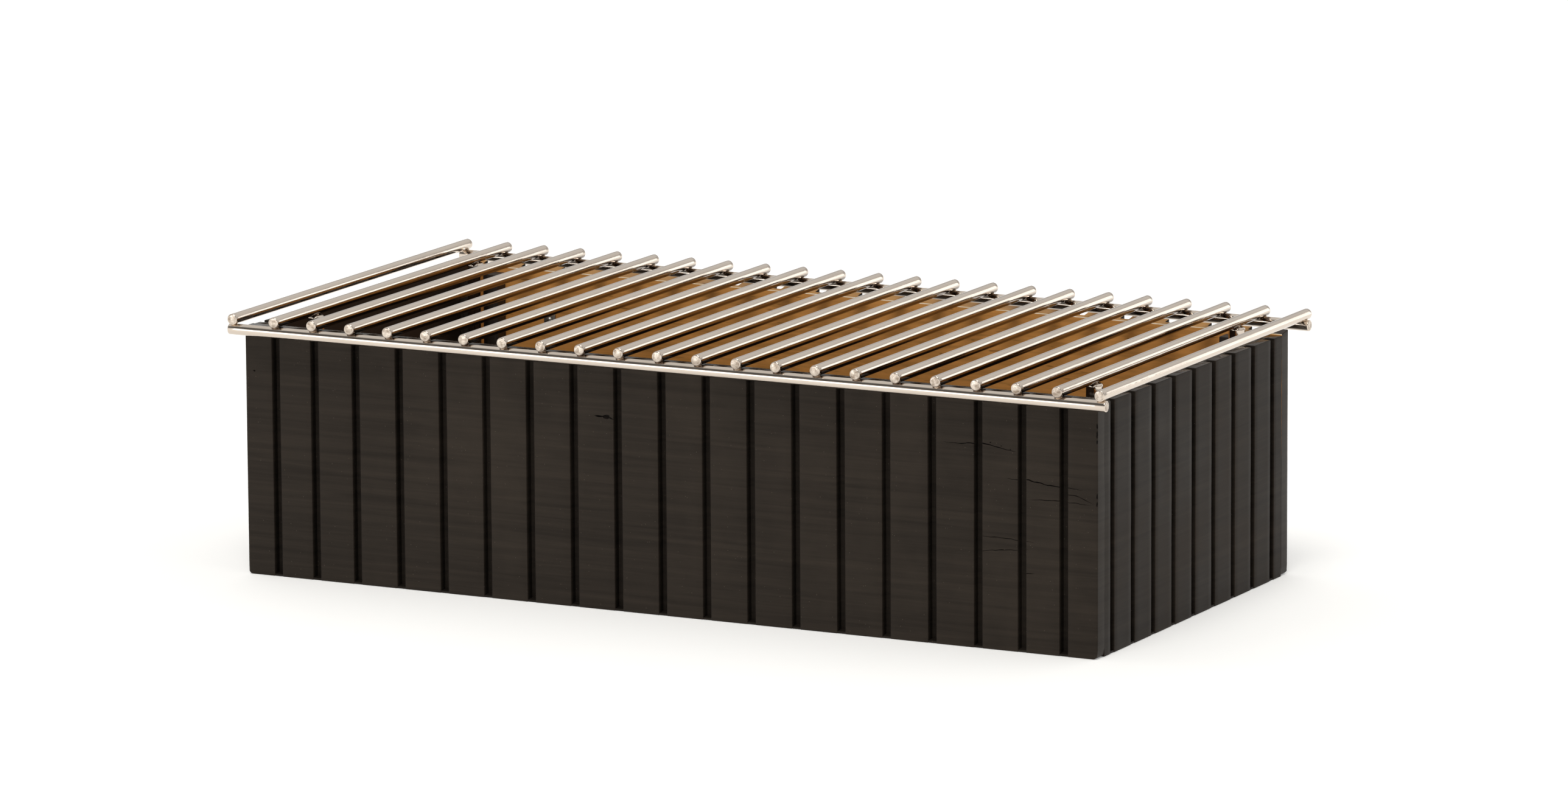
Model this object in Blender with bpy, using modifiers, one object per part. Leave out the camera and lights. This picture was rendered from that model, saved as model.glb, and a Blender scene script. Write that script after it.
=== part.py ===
"""Grooved wooden box with a lift-off chrome rod rack.

Metres, +Z up.  The origin is the centre of the box's underside, +X runs along the box's
length and -Y is its front.  The rack stands inside the box on four tube legs and lifts
straight up.
"""
import math

import bmesh
import bpy

# ---------------------------------------------------------------- driving dimensions
BOX_LENGTH = 1.060
BOX_DEPTH = 0.505
BACK_HEIGHT = 0.276
RIGHT_HEIGHT = 0.278
LEFT_HEIGHT = 0.284
FRONT_HEIGHT = 0.285
WALL = 0.018
FLOOR_THICKNESS = 0.012
CORNER_RADIUS = 0.002
GAP = 0.0003

GROOVE_WIDTH = 0.0100
GROOVE_DEPTH = 0.0105
DEPTH_WANDER = 0.0004
GROOVE_PITCH = 0.0555
GROOVE_SHIFT = -0.0005
SPACING_WANDER = 0.0015
REGULAR_GROOVES = 15
NARROW_STRIPS = (0.0525, 0.0495)
END_GROOVES = 9
END_GROOVE_PITCH = 0.0528
END_GROOVE_SHIFT = -0.0028

BLOCK_WIDTH = 0.050
BLOCK_THICKNESS = 0.020
BLOCK_BELOW_BACK_RIM = 0.003

ROD_DIAMETER = 0.0125
ROD_COUNT = 23
ROD_PITCH = 0.0486
LEFT_END_GAP = 0.0533
RIGHT_END_GAP = 0.0509
ROD_EDGE = 0.0009
RAIL_ABOVE_BACK_RIM = 0.0070
RAIL_OUTSIDE_FACE = 0.0165
RACK_SHIFT = 0.0045

LEG_DIAMETER = 0.019
LEG_WALL = 0.0012
LEG_SHOULDER = 0.003
LEG_FRONT_INSET = 0.074
LEG_BACK_INSET = 0.056
FOOT_DIAMETER = 0.022
FOOT_PAD = 0.005
FOOT_STEM = 0.015

PLATE_X = -0.403
PLATE_Z = 0.2215
PLATE_SIZE = (0.015, 0.0015, 0.022)
PLATE_EDGE = 0.0004
SCREW_HEAD_RADIUS = 0.0032
SCREW_HEAD_HEIGHT = 0.0019
SCREW_SHANK_RADIUS = 0.0014
SCREW_INTO_WALL = 0.009

# ---------------------------------------------------------------- worked-out sizes
HALF_LENGTH = BOX_LENGTH / 2
HALF_DEPTH = BOX_DEPTH / 2
INNER_X = HALF_LENGTH - WALL
INNER_Y = HALF_DEPTH - WALL
ROD_RADIUS = ROD_DIAMETER / 2
RAIL_Y = HALF_DEPTH + RAIL_OUTSIDE_FACE
RAIL_Z = BACK_HEIGHT + RAIL_ABOVE_BACK_RIM
ROD_Z = RAIL_Z + ROD_DIAMETER + GAP
ROD_LENGTH = 2 * (RAIL_Y + ROD_RADIUS)
ROD_SPAN = LEFT_END_GAP + ROD_PITCH * (ROD_COUNT - 3) + RIGHT_END_GAP
RAIL_LENGTH = ROD_SPAN + ROD_DIAMETER + 0.001
LEG_RADIUS = LEG_DIAMETER / 2
LEG_TOP = ROD_Z - ROD_RADIUS - GAP
LEG_BOTTOM = FLOOR_THICKNESS + GAP + FOOT_PAD + GAP

COLLECTION_NAME = "slatted_box_with_rod_rack"
CUTTER_COLLECTION_NAME = "cutters"


# ---------------------------------------------------------------- scene and helpers
def clear_scene():
    for item in list(bpy.data.objects):
        bpy.data.objects.remove(item, do_unlink=True)


def new_collection(name):
    collection = bpy.data.collections.new(name)
    bpy.context.scene.collection.children.link(collection)
    return collection


def new_material(name, colour, metallic, roughness):
    material = bpy.data.materials.new(name)
    material.use_nodes = True
    shader = material.node_tree.nodes["Principled BSDF"]
    shader.inputs["Base Color"].default_value = (*colour, 1.0)
    shader.inputs["Metallic"].default_value = metallic
    shader.inputs["Roughness"].default_value = roughness
    return material


def add_mesh_object(name, mesh, collection, material):
    item = bpy.data.objects.new(name, mesh)
    collection.objects.link(item)
    if material is not None:
        mesh.materials.append(material)
    return item


def shade_round(mesh, angle=math.radians(40)):
    mesh.shade_smooth()
    mesh.set_sharp_from_angle(angle=angle)


def box_mesh(name, size):
    """A box of the given size, centred on its own origin."""
    mesh = bpy.data.meshes.new(name)
    shape = bmesh.new()
    bmesh.ops.create_cube(shape, size=1.0)
    bmesh.ops.scale(shape, vec=size, verts=shape.verts)
    shape.to_mesh(mesh)
    shape.free()
    return mesh


def rod_mesh(name, length, radius, sides, edge):
    """A solid round bar along Z with a small rounded edge at both ends."""
    mesh = bpy.data.meshes.new(name)
    shape = bmesh.new()
    bmesh.ops.create_cone(
        shape, cap_ends=True, segments=sides, radius1=radius, radius2=radius, depth=length
    )
    rims = [line for line in shape.edges if abs(line.verts[0].co.z - line.verts[1].co.z) < 1e-6]
    bmesh.ops.bevel(shape, geom=rims, offset=edge, segments=1, affect="EDGES", profile=0.5)
    shape.to_mesh(mesh)
    shape.free()
    shade_round(mesh)
    return mesh


def add_turned(name, profile, steps, collection, material):
    """A profile of (radius, height) points turned about Z by a Screw modifier."""
    mesh = bpy.data.meshes.new(name)
    points = [(radius, 0.0, height) for radius, height in profile]
    lines = [(index, index + 1) for index in range(len(points) - 1)]
    mesh.from_pydata(points, lines, [])
    item = add_mesh_object(name, mesh, collection, material)
    screw = item.modifiers.new("turn", "SCREW")
    screw.axis = "Z"
    screw.angle = 2 * math.pi
    screw.steps = steps
    screw.render_steps = steps
    screw.use_merge_vertices = True
    screw.merge_threshold = 0.00005
    screw.use_smooth_shade = True
    return item


def arc(centre, radius, start, stop, steps):
    """Points on an arc in a plane, angles in degrees."""
    points = []
    for step in range(steps + 1):
        angle = math.radians(start + (stop - start) * step / steps)
        points.append((centre[0] + radius * math.cos(angle), centre[1] + radius * math.sin(angle)))
    return points


# ---------------------------------------------------------------- grooved panels
def long_groove_centres():
    """Groove positions along a long panel: even in the middle, closer at both ends.

    They were marked out by hand, so the spacing wanders slowly over the length.
    """
    half = (REGULAR_GROOVES - 1) // 2
    centres = [GROOVE_PITCH * index for index in range(-half, half + 1)]
    edge = centres[-1]
    for strip in NARROW_STRIPS:
        edge += strip
        centres = [-edge] + centres + [edge]
    wander = [SPACING_WANDER * math.sin(2 * math.pi * centre / BOX_LENGTH) for centre in centres]
    return [centre + GROOVE_SHIFT - offset for centre, offset in zip(centres, wander)]


def end_groove_centres():
    middle = (END_GROOVES - 1) / 2
    return [END_GROOVE_SHIFT + END_GROOVE_PITCH * (index - middle) for index in range(END_GROOVES)]


def groove_depth(index):
    """The grooves were routed by hand, so their depth wanders a little."""
    return GROOVE_DEPTH + DEPTH_WANDER * math.sin(2.1 * index + 1.0)


def grooved_outline(half_width, radius, centres):
    """Plan of a panel: grooved side at y = 0, back at y = WALL, outer corners rounded."""
    outline = [(half_width, WALL), (-half_width, WALL)]
    if radius > 0:
        outline += arc((-half_width + radius, radius), radius, 180, 270, 4)
    else:
        outline.append((-half_width, 0.0))
    for index, centre in enumerate(centres):
        left = centre - GROOVE_WIDTH / 2
        right = centre + GROOVE_WIDTH / 2
        depth = groove_depth(index)
        outline += [(left, 0.0), (left, depth), (right, depth), (right, 0.0)]
    if radius > 0:
        outline += arc((half_width - radius, radius), radius, 270, 360, 4)
    else:
        outline.append((half_width, 0.0))
    return outline


def add_panel(name, outline, height, place, turn, collection, material):
    """An upright panel: its plan outline extruded from z = 0 to its height, made a mesh."""
    curve = bpy.data.curves.new(name + "_outline", "CURVE")
    curve.dimensions = "2D"
    curve.fill_mode = "BOTH"
    curve.extrude = height / 2
    spline = curve.splines.new("POLY")
    spline.points.add(len(outline) - 1)
    for point, (x, y) in zip(spline.points, outline):
        point.co = (x, y, 0.0, 1.0)
    spline.use_cyclic_u = True
    guide = bpy.data.objects.new(name + "_outline", curve)
    collection.objects.link(guide)
    guide.location = (*place, height / 2)
    guide.rotation_euler = (0.0, 0.0, math.radians(turn))
    bpy.context.view_layer.update()
    mesh = bpy.data.meshes.new_from_object(guide.evaluated_get(bpy.context.evaluated_depsgraph_get()))
    weld_caps(mesh)
    item = add_mesh_object(name, mesh, collection, material)
    item.matrix_world = guide.matrix_world
    bpy.data.objects.remove(guide, do_unlink=True)
    return item


def weld_caps(mesh):
    """Join the extrusion's loose caps to its sides and make each cap one face."""
    shape = bmesh.new()
    shape.from_mesh(mesh)
    bmesh.ops.remove_doubles(shape, verts=shape.verts, dist=0.00001)
    bmesh.ops.recalc_face_normals(shape, faces=shape.faces)
    for up in (-1, 1):
        cap = [face for face in shape.faces if face.normal.z * up > 0.99]
        bmesh.ops.dissolve_faces(shape, faces=cap)
    shape.to_mesh(mesh)
    shape.free()


def build_panels(parts, material):
    long_plan = grooved_outline(HALF_LENGTH, CORNER_RADIUS, long_groove_centres())
    end_centres = end_groove_centres()
    right_plan = grooved_outline(INNER_Y - GAP, 0.0, end_centres)
    left_plan = grooved_outline(INNER_Y - GAP, 0.0, [-centre for centre in reversed(end_centres)])
    right_place = (HALF_LENGTH, 0.0)
    left_place = (-HALF_LENGTH, 0.0)
    front_place = (0.0, -HALF_DEPTH)
    back_place = (0.0, HALF_DEPTH)
    add_panel("right_end_panel", right_plan, RIGHT_HEIGHT, right_place, 90, parts, material)
    add_panel("left_end_panel", left_plan, LEFT_HEIGHT, left_place, -90, parts, material)
    add_panel("front_panel", long_plan, FRONT_HEIGHT, front_place, 0, parts, material)
    return add_panel("back_panel", long_plan, BACK_HEIGHT, back_place, 180, parts, material)


def build_floor(parts, material):
    size = (2 * (INNER_X - GAP), 2 * (INNER_Y - GAP), FLOOR_THICKNESS)
    item = add_mesh_object("floor_panel", box_mesh("floor_panel", size), parts, material)
    item.location = (0.0, 0.0, FLOOR_THICKNESS / 2)


def build_corner_blocks(parts, material):
    bottom = FLOOR_THICKNESS + GAP
    height = BACK_HEIGHT - BLOCK_BELOW_BACK_RIM - bottom
    x = INNER_X - GAP - BLOCK_WIDTH / 2
    y = INNER_Y - GAP - BLOCK_THICKNESS / 2
    for side, side_sign in (("left", -1), ("right", 1)):
        for end, end_sign in (("front", -1), ("back", 1)):
            name = "corner_block_" + end + "_" + side
            mesh = box_mesh(name, (BLOCK_WIDTH, BLOCK_THICKNESS, height))
            item = add_mesh_object(name, mesh, parts, material)
            item.location = (side_sign * x, end_sign * y, bottom + height / 2)


# ---------------------------------------------------------------- small plate on the back wall
def add_cutter(name, radius, length, location, cutters):
    mesh = bpy.data.meshes.new(name)
    shape = bmesh.new()
    bmesh.ops.create_cone(
        shape, cap_ends=True, segments=16, radius1=radius, radius2=radius, depth=length
    )
    shape.to_mesh(mesh)
    shape.free()
    item = add_mesh_object(name, mesh, cutters, None)
    item.location = location
    item.rotation_euler = (math.radians(90), 0.0, 0.0)
    item.hide_render = True
    item.display_type = "WIRE"
    return item


def cut(item, cutter):
    boolean = item.modifiers.new("cut_" + cutter.name, "BOOLEAN")
    boolean.operation = "DIFFERENCE"
    boolean.solver = "EXACT"
    boolean.object = cutter


def build_wall_plate(parts, cutters, metal, back_panel):
    face = INNER_Y
    plate_y = face - GAP - PLATE_SIZE[1] / 2
    mesh = box_mesh("wall_plate", PLATE_SIZE)
    plate = add_mesh_object("wall_plate", mesh, parts, metal)
    plate.location = (PLATE_X, plate_y, PLATE_Z)
    bevel = plate.modifiers.new("edge", "BEVEL")
    bevel.width = PLATE_EDGE
    bevel.segments = 1
    hole_radius = SCREW_SHANK_RADIUS + GAP
    hole_length = SCREW_INTO_WALL + PLATE_SIZE[1] + 4 * GAP
    hole = add_cutter(
        "screw_hole", hole_radius, 2 * hole_length, (PLATE_X, face - GAP, PLATE_Z), cutters
    )
    cut(plate, hole)
    cut(back_panel, hole)
    build_plate_screw(parts, metal, face)


def build_plate_screw(parts, metal, face):
    """A domed screw; its local Z points into the room, away from the wall."""
    seat = GAP + PLATE_SIZE[1] + GAP
    dome = [(0.0, seat + SCREW_HEAD_HEIGHT)]
    for step in range(1, 5):
        angle = math.radians(90 * step / 4)
        height = seat + SCREW_HEAD_HEIGHT * math.cos(angle)
        dome.append((SCREW_HEAD_RADIUS * math.sin(angle), height))
    shank = [(SCREW_SHANK_RADIUS, seat), (SCREW_SHANK_RADIUS, -SCREW_INTO_WALL + 0.002)]
    tip = [(0.0, -SCREW_INTO_WALL)]
    screw = add_turned("wall_plate_screw", dome + shank + tip, 16, parts, metal)
    screw.location = (PLATE_X, face, PLATE_Z)
    screw.rotation_euler = (math.radians(90), 0.0, 0.0)


# ---------------------------------------------------------------- rack
def rod_positions():
    """X of each rod's axis: an even row with a wider gap at either end."""
    start = RACK_SHIFT - ROD_SPAN / 2
    inner = [start + LEFT_END_GAP + ROD_PITCH * index for index in range(ROD_COUNT - 2)]
    return [start] + inner + [start + ROD_SPAN]


def build_rails(parts, chrome, empty):
    for name, side in (("front_rail", -1), ("back_rail", 1)):
        mesh = rod_mesh(name, RAIL_LENGTH, ROD_RADIUS, 20, ROD_EDGE)
        rail = add_mesh_object(name, mesh, parts, chrome)
        rail.parent = empty
        rail.location = (RACK_SHIFT, side * RAIL_Y, RAIL_Z)
        rail.rotation_euler = (0.0, math.radians(90), 0.0)


def build_rods(parts, chrome, empty):
    shared = rod_mesh("rod", ROD_LENGTH, ROD_RADIUS, 20, ROD_EDGE)
    shared.materials.append(chrome)
    for number, x in enumerate(rod_positions(), start=1):
        rod = bpy.data.objects.new("rod_%02d" % number, shared)
        parts.objects.link(rod)
        rod.parent = empty
        rod.location = (x, 0.0, ROD_Z)
        rod.rotation_euler = (math.radians(90), 0.0, 0.0)


def leg_profile():
    """Tube wall with a closed, round-shouldered top; the bottom end is open."""
    inner = LEG_RADIUS - LEG_WALL
    shoulder = arc((LEG_RADIUS - LEG_SHOULDER, LEG_TOP - LEG_SHOULDER), LEG_SHOULDER, 90, 0, 4)
    outside = [(0.0, LEG_TOP)] + shoulder + [(LEG_RADIUS, LEG_BOTTOM)]
    inside = [(inner, LEG_BOTTOM), (inner, LEG_TOP - LEG_SHOULDER), (0.0, LEG_TOP - LEG_SHOULDER)]
    return outside + inside


def foot_profile():
    """A pad under the tube with a stem that plugs into it."""
    bottom = FLOOR_THICKNESS + GAP
    top = bottom + FOOT_PAD
    radius = FOOT_DIAMETER / 2
    stem = LEG_RADIUS - LEG_WALL - GAP
    stem_side = [(0.0, top + FOOT_STEM), (stem, top + FOOT_STEM), (stem, top)]
    pad_side = [(radius - 0.0008, top), (radius, top - 0.0008), (radius, bottom + 0.0008)]
    return stem_side + pad_side + [(radius - 0.0008, bottom), (0.0, bottom)]


def build_legs(parts, chrome, rubber, empty):
    rods = rod_positions()
    leg_x = {"left": rods[1], "right": rods[-2]}
    leg_y = {"front": LEG_FRONT_INSET - HALF_DEPTH, "back": HALF_DEPTH - LEG_BACK_INSET}
    for side, x in leg_x.items():
        for end, y in leg_y.items():
            place = end + "_" + side
            leg = add_turned("leg_" + place, leg_profile(), 24, parts, chrome)
            foot = add_turned("foot_" + place, foot_profile(), 20, parts, rubber)
            for item in (leg, foot):
                item.parent = empty
                item.location = (x, y, 0.0)


def build():
    clear_scene()
    parts = new_collection(COLLECTION_NAME)
    cutters = new_collection(CUTTER_COLLECTION_NAME)
    black_wood = new_material("ebonised_plywood", (0.037, 0.030, 0.024), 0.0, 0.42)
    block_wood = new_material("stained_block", (0.022, 0.017, 0.013), 0.0, 0.6)
    tan_wood = new_material("tan_plywood", (0.30, 0.125, 0.024), 0.0, 0.6)
    chrome = new_material("chrome", (0.78, 0.74, 0.70), 1.0, 0.08)
    steel = new_material("plated_steel", (0.62, 0.61, 0.58), 1.0, 0.3)
    rubber = new_material("rubber", (0.02, 0.02, 0.02), 0.0, 0.7)

    back_panel = build_panels(parts, black_wood)
    build_floor(parts, tan_wood)
    build_corner_blocks(parts, block_wood)
    build_wall_plate(parts, cutters, steel, back_panel)

    rack = bpy.data.objects.new("rack_lift_axis", None)
    parts.objects.link(rack)
    build_rails(parts, chrome, rack)
    build_rods(parts, chrome, rack)
    build_legs(parts, chrome, rubber, rack)


build()
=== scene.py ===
"""Looks of a grooved black plywood box with a lift-off chrome rod rack.

Metres, +Z up, in the frame of the CAD model: the origin is under the middle of the box,
+X runs along its length and -Y is its front.
"""
import math

import bmesh
import bpy
import numpy as np
from mathutils import Matrix, Vector, noise


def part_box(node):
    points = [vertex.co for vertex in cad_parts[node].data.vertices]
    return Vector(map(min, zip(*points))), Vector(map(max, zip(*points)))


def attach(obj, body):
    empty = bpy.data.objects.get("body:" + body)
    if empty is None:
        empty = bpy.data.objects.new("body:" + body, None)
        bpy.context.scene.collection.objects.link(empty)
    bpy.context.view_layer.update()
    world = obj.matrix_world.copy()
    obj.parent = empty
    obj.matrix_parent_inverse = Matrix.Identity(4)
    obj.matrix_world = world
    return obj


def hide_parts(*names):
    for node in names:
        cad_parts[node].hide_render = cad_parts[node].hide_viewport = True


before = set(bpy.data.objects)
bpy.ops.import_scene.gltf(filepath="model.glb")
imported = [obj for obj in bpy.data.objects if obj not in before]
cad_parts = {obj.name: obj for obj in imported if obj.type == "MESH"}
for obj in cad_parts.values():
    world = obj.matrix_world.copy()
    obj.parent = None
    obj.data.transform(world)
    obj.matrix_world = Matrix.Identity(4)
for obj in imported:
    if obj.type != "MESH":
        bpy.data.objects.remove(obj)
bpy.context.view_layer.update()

# ---------------------------------------------------------------- sizes read from the frame
FRONT_LOW, FRONT_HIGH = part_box("front_panel")
BACK_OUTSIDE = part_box("back_panel")[1].y
RIGHT_LOW, RIGHT_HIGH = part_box("right_end_panel")
LEFT_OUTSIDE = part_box("left_end_panel")[0].x
WALL = RIGHT_HIGH.x - RIGHT_LOW.x
ROD_NAMES = sorted(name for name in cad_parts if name.startswith("rod_"))
RAIL_NAMES = ("front_rail", "back_rail")
LEG_NAMES = sorted(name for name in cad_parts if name.startswith("leg_"))
FOOT_NAMES = sorted(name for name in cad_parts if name.startswith("foot_"))
BLOCK_NAMES = sorted(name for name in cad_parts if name.startswith("corner_block"))

# ---------------------------------------------------------------- sizes of the fine detail
LIP_RADIUS = 0.0008
ROOT_RADIUS = 0.0006
CORNER_RADIUS = 0.002
EDGE_EASE = 0.0007
COLUMN_STEP = 0.008
ROW_STEP = 0.007
SLOW_WANDER = 0.00016
FAST_WANDER = 0.00005
RIGHT_RIM_SLOPE = -0.0095
BACK_RIM_SLOPE = -0.0019
BACK_RIM_LIFT = 0.0022
BACK_RIM_TIP = 0.0028
GROOVE_STOP = 0.0024
GROOVE_FOOT_DEPTH = 0.0007
GROOVE_DEPTHS = (0.0095, 0.0125)
ARRIS_ROWS = 3
FOOT_CORNER = 0.006
ROD_SINK = 0.0006
FRONT_RAIL_RISE = 0.0004

LEG_WALL = 0.0012
LEG_SHOULDER = 0.003
LEG_WELD_RADIUS = 0.0052

BAR_SIDES = 44
BAR_RINGS = 96
BAR_EDGE = 0.0011
BAR_DOME = 0.0005
BAR_WOBBLE = 0.000022
END_FACE_WOBBLE = 0.00007
WELD_RADIUS = 0.0047
WELD_SIDES = 22
WELD_BURY = 0.0004

# Cracks in the front's veneer: (x, z) points, then the widest opening.
FRONT_CRACKS = (
    (((0.345, 0.2256), (0.367, 0.2250), (0.391, 0.2279), (0.411, 0.2245), (0.433, 0.2212)), 0.0014),
    (((0.421, 0.1906), (0.448, 0.1912), (0.477, 0.1873), (0.513, 0.1857)), 0.0014),
    (((0.449, 0.1700), (0.484, 0.1716), (0.523, 0.1697)), 0.0010),
    (((0.484, 0.1806), (0.505, 0.1790), (0.526, 0.1712)), 0.0008),
    (((0.382, 0.1243), (0.418, 0.1250), (0.455, 0.1228)), 0.0008),
    (((0.382, 0.1076), (0.415, 0.1112), (0.448, 0.1146)), 0.0008),
    (((0.433, 0.0866), (0.455, 0.0884)), 0.0008),
    (((-0.0850, 0.2192), (-0.078, 0.2190), (-0.070, 0.2184)), 0.0014),
    (((-0.0835, 0.2180), (-0.077, 0.2184), (-0.070, 0.2182)), 0.0011),
    (((-0.069, 0.2182), (-0.064, 0.2172), (-0.0598, 0.2157)), 0.0016),
)
# Small pits and chips in the front: (x, z, half length, half height, depth).
FRONT_PITS = (
    (-0.0690, 0.2183, 0.0045, 0.0024, 0.0020),
    (-0.5183, 0.2342, 0.0014, 0.0010, 0.0009),
    (0.4020, 0.2292, 0.0012, 0.0006, 0.0006),
    (0.4150, 0.2262, 0.0008, 0.0005, 0.0005),
    (0.3890, 0.2310, 0.0007, 0.0005, 0.0005),
    (0.4260, 0.2235, 0.0009, 0.0005, 0.0005),
)
CORNER_CHIPS = (
    (0.2570, 0.0030), (0.2480, 0.0045), (0.2400, 0.0026), (0.1800, 0.0035), (0.1715, 0.0030),
)
CRACK_DEPTH = 0.0020
# How far in from a rounded corner its middle lies, as a share of the radius.
CORNER_CUT = 0.29

# ---------------------------------------------------------------- camera and light
CAMERA_PLACE = (4.75239, -9.26278, 2.18667)
CAMERA_AZIMUTH = 27.051
CAMERA_ELEVATION = 10.777
CAMERA_ROLL = -0.308
CAMERA_LENS = 216.096
SENSOR_WIDTH = 36.0

WORLD_TINT = (1.0, 0.99, 0.97)
SUN_STRENGTH = 1.5
SUN_WIDTH = 30.0
SUN_FROM = (0.10, -0.50, 0.86)
# Soft boxes: name, place, width, height and brightness.
SOFT_BOXES = (
    ("back_box", (1.85, 3.50, 0.84), 1.0, 1.4, 1.15),
    ("front_box", (-1.90, -3.60, 0.72), 1.7, 1.4, 2.1),
)
BOX_TARGET = (0.0, 0.0, 0.28)
FLOOR_RADIUS = 60.0
FLOOR_GLOW = 0.24
FLOOR_GAP = 0.0002


# ---------------------------------------------------------------- mesh helpers
def make_object(name, mesh, materials):
    item = bpy.data.objects.new(name, mesh)
    bpy.context.scene.collection.objects.link(item)
    for material in materials:
        mesh.materials.append(material)
    return item


def loft(rings, flip=False, ring_kinds=None, side_kinds=None, cap_kind=0):
    """Faces and material numbers of a closed skin through rings of equal length."""
    count, sides = rings.shape[0], rings.shape[1]
    faces = []
    kinds = []
    for ring in range(count - 1):
        low = ring * sides
        for side in range(sides):
            following = (side + 1) % sides
            quad = (low + side, low + following, low + sides + following, low + sides + side)
            faces.append(quad)
            if ring_kinds is not None:
                kinds.append(ring_kinds[ring])
            elif side_kinds is not None:
                kinds.append(side_kinds[side])
            else:
                kinds.append(0)
    faces.append(tuple(reversed(range(sides))))
    faces.append(tuple(range((count - 1) * sides, count * sides)))
    kinds += [cap_kind, cap_kind]
    if flip:
        faces = [tuple(reversed(face)) for face in faces]
    return faces, kinds


def lofted(rings):
    """(points, faces, kinds) of a loft that has one material."""
    faces, kinds = loft(rings)
    return rings.reshape(-1, 3), faces, kinds


def skin_mesh(name, groups):
    """One mesh from several lofts, each given as (points, faces, kinds)."""
    points = []
    faces = []
    kinds = []
    for group_points, group_faces, group_kinds in groups:
        shift = len(points)
        points += [tuple(point) for point in group_points]
        faces += [tuple(index + shift for index in face) for face in group_faces]
        kinds += group_kinds
    mesh = bpy.data.meshes.new(name)
    mesh.from_pydata(points, [], faces)
    mesh.polygons.foreach_set("material_index", kinds)
    mesh.update()
    return mesh


def face_outwards(mesh):
    tidy = bmesh.new()
    tidy.from_mesh(mesh)
    bmesh.ops.recalc_face_normals(tidy, faces=tidy.faces)
    tidy.to_mesh(mesh)
    tidy.free()


def shade_round(mesh, angle):
    mesh.shade_smooth()
    mesh.set_sharp_from_angle(angle=math.radians(angle))


def arc_points(centre, radius, start, stop, steps):
    """Points of an arc between two angles in degrees."""
    points = []
    for step in range(steps + 1):
        angle = math.radians(start + (stop - start) * step / steps)
        points.append((centre[0] + radius * math.cos(angle), centre[1] + radius * math.sin(angle)))
    return points


def noise_way(point):
    """A vector of three noises; noise.noise_vector isn't the same on every run."""
    return Vector([noise.noise(point + Vector((0, 0, shift))) for shift in (0.0, 31.7, 63.3)])


def wander(point, seed):
    """A slow and a fast waver that hand-worked wood shows, the same for every run."""
    slow = noise_way(Vector(point) * 15 + Vector((seed, 0, 0))) * SLOW_WANDER
    fast = noise_way(Vector(point) * 95 + Vector((0, seed, 0))) * FAST_WANDER
    return slow + fast


def apply_modifiers(item):
    """Replaces an object's mesh by its evaluated one, so that nothing is left to clean up."""
    bpy.context.view_layer.update()
    graph = bpy.context.evaluated_depsgraph_get()
    mesh = bpy.data.meshes.new_from_object(item.evaluated_get(graph))
    item.modifiers.clear()
    item.data = mesh
    return item


def cut_away(item, cutter):
    boolean = item.modifiers.new("cut", "BOOLEAN")
    boolean.operation = "DIFFERENCE"
    boolean.solver = "EXACT"
    boolean.material_mode = "TRANSFER"
    boolean.use_self = True
    boolean.object = cutter
    apply_modifiers(item)
    bpy.data.objects.remove(cutter, do_unlink=True)


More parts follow.
